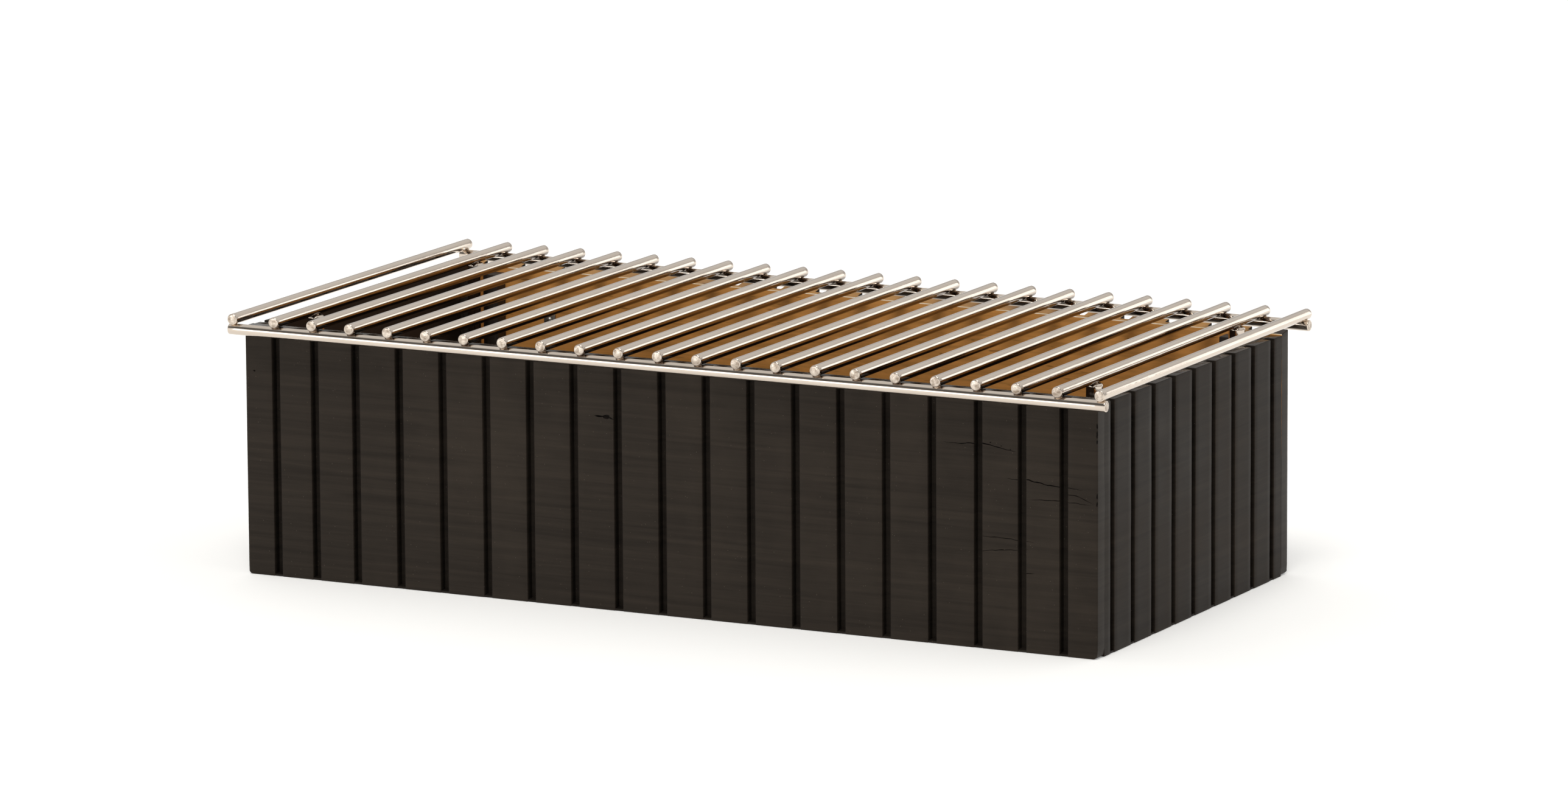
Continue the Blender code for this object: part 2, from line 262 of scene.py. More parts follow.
# ---------------------------------------------------------------- node helpers
class Finish:
    """A node material under construction; every texture runs on object coordinates."""

    def __init__(self, name):
        self.material = bpy.data.materials.new(name)
        self.material.use_nodes = True
        self.tree = self.material.node_tree
        self.shader = self.tree.nodes["Principled BSDF"]
        self.place = self.tree.nodes.new("ShaderNodeTexCoord").outputs["Object"]

    def link(self, source, target):
        self.tree.links.new(source, target)

    def set(self, **values):
        for name, value in values.items():
            socket = self.shader.inputs[name.replace("_", " ")]
            if isinstance(value, bpy.types.NodeSocket):
                self.link(value, socket)
            else:
                socket.default_value = value

    def part(self, axis, vector=None):
        node = self.tree.nodes.new("ShaderNodeSeparateXYZ")
        self.link(vector or self.place, node.inputs["Vector"])
        return node.outputs[axis]

    def stretch(self, scale):
        node = self.tree.nodes.new("ShaderNodeMapping")
        node.inputs["Scale"].default_value = scale
        self.link(self.place, node.inputs["Vector"])
        return node.outputs["Vector"]

    def noise(self, vector, scale=1.0, detail=3.0, roughness=0.5, distortion=0.0):
        node = self.tree.nodes.new("ShaderNodeTexNoise")
        node.inputs["Scale"].default_value = scale
        node.inputs["Detail"].default_value = detail
        node.inputs["Roughness"].default_value = roughness
        node.inputs["Distortion"].default_value = distortion
        self.link(vector, node.inputs["Vector"])
        return node.outputs["Fac"]

    def cells(self, vector, scale):
        node = self.tree.nodes.new("ShaderNodeTexVoronoi")
        node.inputs["Scale"].default_value = scale
        self.link(vector, node.inputs["Vector"])
        return node.outputs["Distance"], node.outputs["Color"]

    def remap(self, value, low, high, out_low=0.0, out_high=1.0):
        node = self.tree.nodes.new("ShaderNodeMapRange")
        node.inputs["From Min"].default_value = low
        node.inputs["From Max"].default_value = high
        node.inputs["To Min"].default_value = out_low
        node.inputs["To Max"].default_value = out_high
        self.link(value, node.inputs["Value"])
        return node.outputs["Result"]

    def calculate(self, operation, first, second):
        node = self.tree.nodes.new("ShaderNodeMath")
        node.operation = operation
        for socket, value in zip(node.inputs, (first, second)):
            if isinstance(value, bpy.types.NodeSocket):
                self.link(value, socket)
            else:
                socket.default_value = value
        return node.outputs["Value"]

    def ramp(self, value, *stops):
        node = self.tree.nodes.new("ShaderNodeValToRGB")
        elements = node.color_ramp.elements
        while len(elements) < len(stops):
            elements.new(0.5)
        for element, (position, colour) in zip(elements, stops):
            element.position = position
            element.color = (*colour, 1.0)
        self.link(value, node.inputs["Fac"])
        return node.outputs["Color"]

    def mix(self, factor, first, second, blend="MIX"):
        node = self.tree.nodes.new("ShaderNodeMix")
        node.data_type = "RGBA"
        node.blend_type = blend
        for index, value in ((0, factor), (6, first), (7, second)):
            if isinstance(value, bpy.types.NodeSocket):
                self.link(value, node.inputs[index])
            elif index == 0:
                node.inputs[0].default_value = value
            else:
                node.inputs[index].default_value = (*value, 1.0)
        return node.outputs[2]

    def bump(self, height, strength, distance, under=None):
        node = self.tree.nodes.new("ShaderNodeBump")
        node.inputs["Strength"].default_value = strength
        node.inputs["Distance"].default_value = distance
        self.link(height, node.inputs["Height"])
        if under is not None:
            self.link(under, node.inputs["Normal"])
        return node.outputs["Normal"]

    def specks(self, scale, size, share):
        """1 inside small dots that fill some of the cells of a grid of the given scale."""
        distance, colour = self.cells(self.place, scale)
        split = self.tree.nodes.new("ShaderNodeSeparateColor")
        self.link(colour, split.inputs["Color"])
        inside = self.remap(distance, size, size * 0.6)
        chosen = self.calculate("GREATER_THAN", split.outputs["Red"], 1.0 - share)
        return self.calculate("MULTIPLY", inside, chosen)


# ---------------------------------------------------------------- materials
# Black over the tan plywood: a real stain at the ends of the back rim, and painted shade low inside
# the box.
STAIN_AND_SHADE_OVER_TAN = (0.024, 0.015, 0.010)
# Painted reflection: the inner rods' downward-facing sides are darkened and browned, standing in
# for the dark inside of the box that they mirror.
PAINTED_UNDERSIDE_TONE = (0.62, 0.50, 0.42)
ROD_PAINTED_UNDERSIDE = 0.32


def ebonised_face(name, dark, middle, light, roughness, level):
    """Black-stained plywood with its grain lying level, faint smudges and dust."""
    finish = Finish(name)
    grain = finish.noise(finish.stretch((5, 5, 150)), detail=6, roughness=0.6, distortion=0.5)
    pores = finish.noise(finish.stretch((28, 28, 1300)), detail=2, roughness=0.6)
    smudge = finish.noise(finish.place, scale=6, detail=4, roughness=0.6)
    colour = finish.ramp(grain, (0.30, dark), (0.52, middle), (0.75, light))
    colour = finish.mix(finish.remap(pores, 0.60, 0.75, 0.0, 0.5), colour, dark)
    haze = finish.remap(smudge, 0.50, 0.75, 0.0, 0.30)
    colour = finish.mix(haze, colour, tuple(value * 2.0 for value in light))
    dust = finish.calculate("MULTIPLY", finish.specks(420, 0.16, 0.05), 0.6)
    colour = finish.mix(dust, colour, (0.16, 0.13, 0.10))
    rough = finish.remap(smudge, 0.3, 0.75, roughness - 0.06, roughness + 0.12)
    broad = finish.noise(finish.place, scale=22, detail=2)
    normal = finish.bump(broad, 0.20, 0.0008)
    normal = finish.bump(grain, 0.06, 0.00020, normal)
    normal = finish.bump(pores, 0.12, 0.00008, normal)
    finish.set(Base_Color=colour, Roughness=rough, Normal=normal)
    finish.set(Specular_IOR_Level=level, Specular_Tint=(1.0, 0.86, 0.74, 1.0))
    return finish.material


def ebonised_rim(name, ply_scale):
    """The glossy lacquered top edge of a wall, where the plies just show as lines."""
    finish = Finish(name)
    plies = finish.noise(finish.stretch(ply_scale), detail=3, roughness=0.55, distortion=0.3)
    wear = finish.noise(finish.place, scale=35, detail=5, roughness=0.65)
    colour = finish.ramp(plies, (0.35, (0.008, 0.006, 0.004)), (0.70, (0.030, 0.019, 0.011)))
    colour = finish.mix(finish.remap(wear, 0.62, 0.75, 0.0, 0.6), colour, (0.08, 0.045, 0.024))
    rough = finish.remap(wear, 0.3, 0.7, 0.09, 0.24)
    normal = finish.bump(plies, 0.25, 0.0002)
    normal = finish.bump(wear, 0.12, 0.0003, normal)
    finish.set(Base_Color=colour, Roughness=rough, Normal=normal)
    finish.set(Specular_IOR_Level=0.08, Specular_Tint=(1.0, 0.84, 0.68, 1.0))
    return finish.material


def tan_plywood(name, depth, painted_shade_below=0.0, stained_beyond=0.0):
    """Golden plywood with level grain, blotches and short dark dashes.

    Below a given height it turns near black, painted shade for the dim lower inside of the box; the
    black stain covers it further along than stained_beyond from the middle of the box.
    """
    finish = Finish(name)
    grain = finish.noise(finish.stretch((7, 7, 130)), detail=7, roughness=0.62, distortion=0.8)
    blotch = finish.noise(finish.place, scale=9, detail=4, roughness=0.55)
    dashes = finish.noise(finish.stretch((40, 40, 420)), detail=1)
    deep = tuple(value * 0.72 for value in depth)
    pale = tuple(min(1.0, value * 1.16) for value in depth)
    colour = finish.ramp(grain, (0.30, deep), (0.50, depth), (0.72, pale))
    brown = tuple(value * 0.55 for value in depth)
    colour = finish.mix(finish.remap(blotch, 0.52, 0.80, 0.0, 0.45), colour, brown)
    colour = finish.mix(finish.remap(dashes, 0.70, 0.76, 0.0, 0.55), colour, (0.09, 0.035, 0.008))
    # Painted shade: near black below the given height, with a ragged edge, for the dim lower inside
    # of the box.
    if painted_shade_below > 0:
        ragged = finish.calculate("MULTIPLY", blotch, 0.03)
        level = finish.calculate("ADD", finish.part("Z"), ragged)
        stain = finish.remap(level, painted_shade_below + 0.021, painted_shade_below - 0.015)
        colour = finish.mix(stain, colour, STAIN_AND_SHADE_OVER_TAN)
    if stained_beyond > 0:
        away = finish.calculate("ABSOLUTE", finish.part("X"), 0.0)
        stain = finish.remap(away, stained_beyond - 0.004, stained_beyond + 0.004)
        colour = finish.mix(stain, colour, STAIN_AND_SHADE_OVER_TAN)
    rough = finish.remap(grain, 0.3, 0.7, 0.48, 0.66)
    normal = finish.bump(grain, 0.35, 0.0004)
    normal = finish.bump(dashes, 0.3, 0.0002, normal)
    finish.set(Base_Color=colour, Roughness=rough, Normal=normal)
    finish.set(Specular_IOR_Level=0.3)
    return finish.material


def arris_painted_highlight():
    """A painted highlight along the inner edge of the back wall's rim: pale, near-white wood colour
    in streaks.
    """
    finish = Finish("tan_plywood_worn_arris")
    highlight_streaks = finish.noise(finish.stretch((40, 200, 200)), detail=4, roughness=0.6)
    colour = finish.ramp(highlight_streaks, (0.35, (0.80, 0.62, 0.38)), (0.65, (0.95, 0.88, 0.74)))
    rough = finish.remap(highlight_streaks, 0.3, 0.7, 0.18, 0.34)
    finish.set(Base_Color=colour, Roughness=rough, Normal=finish.bump(highlight_streaks, 0.2, 0.0002))
    return finish.material


def stained_block():
    finish = Finish("stained_block_grain")
    grain = finish.noise(finish.stretch((210, 210, 9)), detail=6, roughness=0.6, distortion=0.4)
    stain = finish.noise(finish.place, scale=18, detail=4)
    colour = finish.ramp(grain, (0.3, (0.010, 0.007, 0.005)), (0.72, (0.040, 0.027, 0.018)))
    colour = finish.mix(finish.remap(stain, 0.5, 0.75, 0.0, 0.5), colour, (0.055, 0.034, 0.020))
    rough = finish.remap(stain, 0.3, 0.7, 0.45, 0.7)
    finish.set(Base_Color=colour, Roughness=rough, Normal=finish.bump(grain, 0.4, 0.0004))
    return finish.material


# Painted shade: the walls of cracks, pits and chips are coloured near black, darker than the
# stained face, over a fibre bump.
def crack_painted_shade():
    finish = Finish("broken_wood_dark")
    fibre = finish.noise(finish.stretch((60, 60, 900)), detail=5, roughness=0.7)
    colour = finish.ramp(fibre, (0.3, (0.001, 0.0008, 0.0006)), (0.8, (0.010, 0.006, 0.004)))
    rough = finish.remap(fibre, 0.3, 0.7, 0.75, 0.95)
    finish.set(Base_Color=colour, Roughness=rough, Normal=finish.bump(fibre, 0.6, 0.0005))
    finish.set(Specular_IOR_Level=0.15)
    return finish.material


def nickel(name, streak_scale, streak_share=1.0, painted_underside=1.0):
    """Bright plating: streaks along the bar that come in patches, a haze and a few pits.

    A value below 1 as the last argument paints a darker, browner reflection on the side that faces
    down, standing in for the dark inside of the box.
    """
    finish = Finish(name)
    streaks = finish.noise(finish.stretch(streak_scale), detail=4, roughness=0.65)
    patch = finish.noise(finish.place, scale=16, detail=3, roughness=0.6)
    tone = finish.noise(finish.place, scale=7, detail=2)
    colour = finish.ramp(tone, (0.3, (0.65, 0.565, 0.485)), (0.7, (0.70, 0.615, 0.53)))
    pits = finish.specks(520, 0.14, 0.03)
    colour = finish.mix(finish.calculate("MULTIPLY", pits, 0.8), colour, (0.10, 0.07, 0.05))
    # Painted reflection: darker and browner where the surface faces down.
    if painted_underside < 1.0:
        facing = finish.tree.nodes.new("ShaderNodeTexCoord").outputs["Normal"]
        under = finish.remap(finish.part("Z", facing), -0.06, -0.36)
        colour = finish.mix(under, colour, tuple(value * painted_underside for value in PAINTED_UNDERSIDE_TONE))
    masked = finish.calculate("MULTIPLY", streaks, finish.remap(patch, 0.42, 0.62))
    rough = finish.remap(patch, 0.35, 0.7, 0.055, 0.14)
    normal = finish.bump(masked, 0.55 * streak_share, 0.00022)
    ripple = finish.noise(finish.place, scale=130, detail=2)
    normal = finish.bump(ripple, 0.16, 0.00025, normal)
    finish.set(Base_Color=colour, Metallic=1.0, Roughness=rough, Normal=normal)
    return finish.material


def nickel_end():
    """The sawn and plated end of a bar: bright, with squiggled grinding marks."""
    finish = Finish("nickel_sawn_end")
    marks = finish.noise(finish.place, scale=420, detail=4, roughness=0.6, distortion=1.2)
    stain = finish.noise(finish.place, scale=190, detail=3)
    colour = finish.ramp(stain, (0.40, (0.64, 0.56, 0.48)), (0.70, (0.26, 0.20, 0.15)))
    rough = finish.remap(stain, 0.3, 0.7, 0.10, 0.22)
    finish.set(Base_Color=colour, Metallic=1.0, Roughness=rough)
    finish.set(Normal=finish.bump(marks, 0.7, 0.0006))
    return finish.material


def weld_metal():
    finish = Finish("nickel_over_weld")
    beads = finish.noise(finish.place, scale=330, detail=4, roughness=0.6)
    stain = finish.noise(finish.place, scale=120, detail=3)
    colour = finish.ramp(stain, (0.35, (0.70, 0.62, 0.54)), (0.75, (0.48, 0.38, 0.28)))
    rough = finish.remap(stain, 0.3, 0.7, 0.10, 0.26)
    finish.set(Base_Color=colour, Metallic=1.0, Roughness=rough)
    finish.set(Normal=finish.bump(beads, 0.6, 0.0005))
    return finish.material


def plate_steel():
    finish = Finish("plated_steel_worn")
    lines = finish.noise(finish.stretch((900, 900, 40)), detail=3)
    spots = finish.noise(finish.place, scale=260, detail=4, roughness=0.6)
    colour = finish.ramp(spots, (0.40, (0.62, 0.60, 0.56)), (0.75, (0.30, 0.25, 0.20)))
    rough = finish.remap(spots, 0.3, 0.7, 0.24, 0.46)
    finish.set(Base_Color=colour, Metallic=1.0, Roughness=rough)
    finish.set(Normal=finish.bump(lines, 0.3, 0.0002))
    return finish.material


def rubber():
    finish = Finish("rubber_dusty")
    dust = finish.noise(finish.place, scale=160, detail=5, roughness=0.65)
    grain = finish.noise(finish.place, scale=1500, detail=2)
    colour = finish.ramp(dust, (0.4, (0.014, 0.014, 0.014)), (0.75, (0.060, 0.055, 0.050)))
    rough = finish.remap(dust, 0.3, 0.7, 0.60, 0.85)
    finish.set(Base_Color=colour, Roughness=rough, Normal=finish.bump(grain, 0.35, 0.0002))
    return finish.material


def studio_floor():
    finish = Finish("studio_floor_pale")
    cloud = finish.noise(finish.place, scale=0.7, detail=3)
    grain = finish.noise(finish.place, scale=240, detail=3)
    colour = finish.ramp(cloud, (0.3, (0.90, 0.90, 0.89)), (0.7, (0.93, 0.93, 0.92)))
    rough = finish.remap(cloud, 0.3, 0.7, 0.80, 0.90)
    finish.set(Base_Color=colour, Roughness=rough, Normal=finish.bump(grain, 0.05, 0.0003))
    finish.set(Specular_IOR_Level=0.2)
    finish.set(Emission_Color=colour, Emission_Strength=FLOOR_GLOW)
    return finish.material


# ---------------------------------------------------------------- grooved panels
def read_grooves(node, along, outer, inward):
    """(start, stop, depth) of each groove, from the CAD panel's top edge."""
    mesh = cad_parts[node].data
    across = 1 - along
    top = max(vertex.co.z for vertex in mesh.vertices)
    found = {}
    for vertex in mesh.vertices:
        depth = (vertex.co[across] - outer) * inward
        if vertex.co.z > top - 0.0001 and GROOVE_DEPTHS[0] < depth < GROOVE_DEPTHS[1]:
            found[round(vertex.co[along], 5)] = depth
    places = sorted(found)
    pairs = zip(places[0::2], places[1::2])
    return [(start, stop, found[start]) for start, stop in pairs]


def even_steps(start, stop, step):
    """Evenly spaced places strictly between two ends, about one step apart."""
    count = max(2, round(abs(stop - start) / step))
    return [start + (stop - start) * index / count for index in range(1, count)]


def panel_plan(low, high, grooves, corner_radius):
    """Plan of a panel as (along, depth) points, with a material number for each side.

    0 is the face, 1 the inside of a groove and 3 the wood within the box. In a panel 2 is the
    rim, 4 the near-black walls of cracks with painted shade and 5 the painted highlight along the
    rim's inner edge.
    """
    points = []
    kinds = []

    def add(new_points, kind):
        for point in new_points:
            points.append(point)
            kinds.append(kind)

    if corner_radius > 0:
        add(arc_points((low + corner_radius, corner_radius), corner_radius, 180, 270, 7), 0)
    else:
        add([(low, 0.0)], 0)
    reached = low + corner_radius
    for start, stop, depth in grooves:
        edge = start - LIP_RADIUS
        add([(place, 0.0) for place in even_steps(reached, edge, COLUMN_STEP)], 0)
        add(arc_points((edge, LIP_RADIUS), LIP_RADIUS, -90, 0, 3), 0)
        add([(start, depth * 0.35), (start, depth * 0.7)], 1)
        root = depth - ROOT_RADIUS
        add(arc_points((start + ROOT_RADIUS, root), ROOT_RADIUS, 180, 90, 3), 1)
        add([((start + stop) / 2, depth)], 1)
        add(arc_points((stop - ROOT_RADIUS, root), ROOT_RADIUS, 90, 0, 3), 1)
        add([(stop, depth * 0.7), (stop, depth * 0.35)], 1)
        reached = stop + LIP_RADIUS
        add(arc_points((reached, LIP_RADIUS), LIP_RADIUS, 180, 270, 3), 0)
    edge = high - corner_radius
    add([(place, 0.0) for place in even_steps(reached, edge, COLUMN_STEP)], 0)
    if corner_radius > 0:
        add(arc_points((edge, corner_radius), corner_radius, 270, 360, 7), 0)
    else:
        add([(high, 0.0)], 0)
    add([(high, WALL)], 3)
    add([(place, WALL) for place in even_steps(high, low, 3 * COLUMN_STEP)], 3)
    add([(low, WALL)], 0)
    return np.array(points), kinds


def inward_of(plan):
    """Unit vectors pointing into the wood at each point of a plan."""
    ahead = np.roll(plan, -1, axis=0) - plan
    behind = plan - np.roll(plan, 1, axis=0)
    ahead /= np.linalg.norm(ahead, axis=1)[:, None]
    behind /= np.linalg.norm(behind, axis=1)[:, None]
    along = ahead + behind
    along /= np.linalg.norm(along, axis=1)[:, None]
    return np.stack([-along[:, 1], along[:, 0]], axis=1)


def eased_levels(bottom, top):
    """(height, inset) of each row: rounded at both edges and even in between.

    Two rows lie close together where the grooves stop, just above the lower edge.
    """
    levels = []
    for angle in (0, 30, 60, 90):
        turn = math.radians(angle)
        inset = EDGE_EASE * (1 - math.sin(turn))
        levels.append((bottom + EDGE_EASE * (1 - math.cos(turn)), inset))
    levels += [(bottom + GROOVE_STOP, 0.0), (bottom + GROOVE_STOP * 1.3, 0.0)]
    rows = even_steps(bottom + GROOVE_STOP * 1.3, top - EDGE_EASE, ROW_STEP)
    levels += [(row, 0.0) for row in rows]
    for angle in (90, 60, 30, 0):
        turn = math.radians(angle)
        inset = EDGE_EASE * (1 - math.sin(turn))
        levels.append((top - EDGE_EASE * (1 - math.cos(turn)), inset))
    return levels


def rounded_foot(place, low, high, height):
    """Draws the ends of a long panel in near its lower corners."""
    if height >= FOOT_CORNER:
        return place
    rise = FOOT_CORNER - height
    cut = FOOT_CORNER - math.sqrt(FOOT_CORNER ** 2 - rise ** 2)
    return min(max(place, low + cut), high - cut)


def build_panel(node, along, outer, inward, corner_radius, materials, rim):
    """A detailed panel in the place of a CAD one.

    The rim is (slope, lift, tip): slope tilts its top along the wall, lift raises it and tip
    raises its outer edge alone.
    """
    slope, lift, tip = rim
    low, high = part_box(node)
    grooves = read_grooves(node, along, outer, inward)
    plan, kinds = panel_plan(low[along], high[along], grooves, corner_radius)
    lean = inward_of(plan)
    rings = []
    seed = len(node) + along * 7 + inward * 3
    in_groove = [kind == 1 for kind in kinds]
    for height, inset in eased_levels(low.z, high.z):
        ring = []
        share = height / high.z
        for (place, depth), grooved in zip(plan + lean * inset, in_groove):
            if grooved and height < low.z + GROOVE_STOP * 1.1:
                depth = min(depth, GROOVE_FOOT_DEPTH + inset)
            if corner_radius > 0:
                place = rounded_foot(place, low[along], high[along], height - low.z)
            rise = slope * place + lift + tip * (1 - depth / WALL)
            point = [0.0, 0.0, height + rise * share]
            point[along] = place
            point[1 - along] = outer + inward * depth
            moved = Vector(point) + wander(point, seed)
            ring.append((moved.x, moved.y, point[2]))
        rings.append(ring)
    rings = np.array(rings)
    flip = (along == 0 and inward < 0) or (along == 1 and inward > 0)
    faces, numbers = loft(rings, flip=flip, side_kinds=kinds, cap_kind=2)
    # The top rows of the inner face take material 5, the painted highlight on the rim's inner edge.
    if tip > 0:
        stop = (len(rings) - 1) * len(kinds)
        for index in range(stop - ARRIS_ROWS * len(kinds), stop):
            numbers[index] = 5 if numbers[index] == 3 else numbers[index]
    mesh = skin_mesh(node + "_detail", [(rings.reshape(-1, 3), faces, numbers)])
    shade_round(mesh, 50)
    return make_object(node + "_detail", mesh, materials)


def crack_rings(path, width, outer):
    """A wavering V-shaped slit along a path on the front, tapering at both ends."""
    rings = []
    steps = 9
    samples = []
    for start, stop in zip(path, path[1:]):
        for step in range(steps):
            share = step / steps
            samples.append([a + (b - a) * share for a, b in zip(start, stop)])
    samples.append(list(path[-1]))
    last = len(samples) - 1
    for index, (x, z) in enumerate(samples):
        waver = noise.noise(Vector((x * 140, z * 140, 3.0))) * 0.0011
        opening = width * (0.12 + 0.88 * math.sin(math.pi * index / last) ** 0.6)
        opening *= 0.75 + 0.5 * noise.noise(Vector((x * 300, 5.0, z * 300)))
        half = max(opening, 0.0001) / 2
        depth = CRACK_DEPTH * (0.3 + 0.7 * math.sin(math.pi * index / last))
        level = z + waver
        rings.append([
            (x, outer - 0.0006, level + half * 1.4),
            (x, outer - 0.0006, level - half * 1.4),
            (x, outer + depth, level - half * 0.2),
            (x, outer + depth, level + half * 0.2),
        ])
    return np.array(rings)


def pit_rings(centre, half_sizes, seed):
    """A lumpy ball, as rings from one pole to the other along X."""
    rings = []
    for ring in range(1, 8):
        polar = math.pi * ring / 8
        points = []
        for side in range(12):
            angle = 2 * math.pi * side / 12
            way = Vector((-math.cos(polar), math.sin(polar) * math.cos(angle),
                          math.sin(polar) * math.sin(angle)))
            swell = 1 + 0.35 * noise.noise(way * 1.7 + Vector((seed, seed * 0.5, 0)))
            points.append([c + w * swell * h for c, w, h in zip(centre, way, half_sizes)])
        rings.append(points)
    return np.array(rings)


def cut_front_marks(panel, dark):
    """Cracks, a small knot and corner chips, cut into the front."""
    outer = FRONT_LOW.y
    groups = [lofted(crack_rings(path, width, outer)) for path, width in FRONT_CRACKS]
    for index, (x, z, length, height, depth) in enumerate(FRONT_PITS):
        groups.append(lofted(pit_rings((x, outer, z), (length, depth, height), index * 3.1)))
    inset = CORNER_RADIUS * CORNER_CUT - 0.0004
    for index, (z, height) in enumerate(CORNER_CHIPS):
        centre = (FRONT_HIGH.x - inset, outer + inset, z)
        groups.append(lofted(pit_rings(centre, (0.0013, 0.0013, height), index * 1.7 + 9)))
    mesh = skin_mesh("front_marks", groups)
    face_outwards(mesh)
    cutter = make_object("front_marks", mesh, [dark])
    cut_away(panel, cutter)


def build_panels():
    face = ebonised_face(
        "ebonised_face", (0.0120, 0.0095, 0.0076), (0.0180, 0.0142, 0.0112),
        (0.0250, 0.0195, 0.0150), 0.44, 0.13,
    )
    end_face = ebonised_face(
        "ebonised_end_face", (0.0120, 0.0092, 0.0072), (0.0175, 0.0134, 0.0104),
        (0.0240, 0.0182, 0.0138), 0.44, 0.07,
    )
    groove = ebonised_face(
        "ebonised_groove", (0.0060, 0.0050, 0.0042), (0.0110, 0.0088, 0.0070),
        (0.0160, 0.0125, 0.0098), 0.55, 0.13,
    )
    long_rim = ebonised_rim("ebonised_rim_long", (4, 700, 4))
    end_rim = ebonised_rim("ebonised_rim_end", (700, 4, 4))
    # Wall insides: near black below 0.165 m as painted shade.
    bare = tan_plywood("tan_plywood_wall", (0.76, 0.345, 0.088), painted_shade_below=0.165)
    stained = tan_plywood("tan_plywood_near_black", (0.040, 0.024, 0.015))
    dark = crack_painted_shade()
    # The front wall's inner face is coloured near black, like the left wall's inner face.
    long_set = [face, groove, long_rim, stained, dark]
    back_edge = tan_plywood("tan_plywood_edge", (0.42, 0.21, 0.055), stained_beyond=0.510)
    back_set = [face, groove, back_edge, bare, dark, arris_painted_highlight()]
    end_set = [end_face, groove, end_rim, bare, dark]
    left_set = [end_face, groove, end_rim, stained, dark]
    level_rim = (0.0, 0.0, 0.0)
    right_rim = (RIGHT_RIM_SLOPE, 0.0, 0.0)
    back_rim = (BACK_RIM_SLOPE, BACK_RIM_LIFT, BACK_RIM_TIP)
    specs = (
        ("front_panel", 0, FRONT_LOW.y, 1, CORNER_RADIUS, long_set, level_rim),
        ("back_panel", 0, BACK_OUTSIDE, -1, CORNER_RADIUS, back_set, back_rim),
        ("right_end_panel", 1, RIGHT_HIGH.x, -1, 0.0, end_set, right_rim),
        ("left_end_panel", 1, LEFT_OUTSIDE, 1, 0.0, left_set, level_rim),
    )
    for node, along, outer, inward, corner_radius, materials, rim in specs:
        panel = build_panel(node, along, outer, inward, corner_radius, materials, rim)
        if node == "front_panel":
            cut_front_marks(panel, dark)
        finish_piece(panel, "box", "ebonised_plywood", node)


def finish_piece(piece, body, slot, *nodes):
    """Says what a piece rides on and the CAD nodes it stands for; slot is not used."""
    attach(piece, body)
    if nodes:
        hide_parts(*nodes)


# ---------------------------------------------------------------- floor and corner blocks
def timber_mesh(name, low, high, edge, step, seed):
    """A sawn block: a cube cut into even cells, eased at its edges and slightly uneven."""
    shape = bmesh.new()
    bmesh.ops.create_cube(shape, size=1.0)
    size = high - low
    middle = (high + low) / 2
    bmesh.ops.scale(shape, vec=size, verts=shape.verts)
    bmesh.ops.translate(shape, vec=middle, verts=shape.verts)
    bmesh.ops.bevel(
        shape, geom=list(shape.edges), offset=edge, segments=3, affect="EDGES", profile=0.5,
        clamp_overlap=True,
    )
    for axis in range(3):
        count = max(1, round(size[axis] / step))
        for index in range(1, count):
            place = Vector(middle)
            place[axis] = low[axis] + size[axis] * index / count
            normal = Vector((0, 0, 0))
            normal[axis] = 1.0
            geometry = shape.verts[:] + shape.edges[:] + shape.faces[:]
            bmesh.ops.bisect_plane(shape, geom=geometry, plane_co=place, plane_no=normal)
    for vertex in shape.verts:
        vertex.co += wander(vertex.co, seed) * 0.6
    mesh = bpy.data.meshes.new(name)
    shape.to_mesh(mesh)
    shape.free()
    shade_round(mesh, 50)
    return mesh


def build_floor_and_blocks():
    low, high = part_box("floor_panel")
    # Painted shade: the box's floor is coloured dark brown, far darker than the tan walls, for the
    # dim bottom of the box.
    wood = tan_plywood("tan_plywood_floor_painted_shade", (0.10, 0.055, 0.022))
    mesh = timber_mesh("floor_panel_detail", low, high, 0.0008, 0.03, 4.0)
    finish_piece(make_object("floor_panel_detail", mesh, [wood]), "box", "tan_plywood",
                 "floor_panel")
    stain = stained_block()
    for index, node in enumerate(BLOCK_NAMES):
        low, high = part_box(node)
        mesh = timber_mesh(node + "_detail", low, high, 0.0011, 0.012, 10.0 + index * 5)
        finish_piece(make_object(node + "_detail", mesh, [stain]), "box", "stained_block", node)


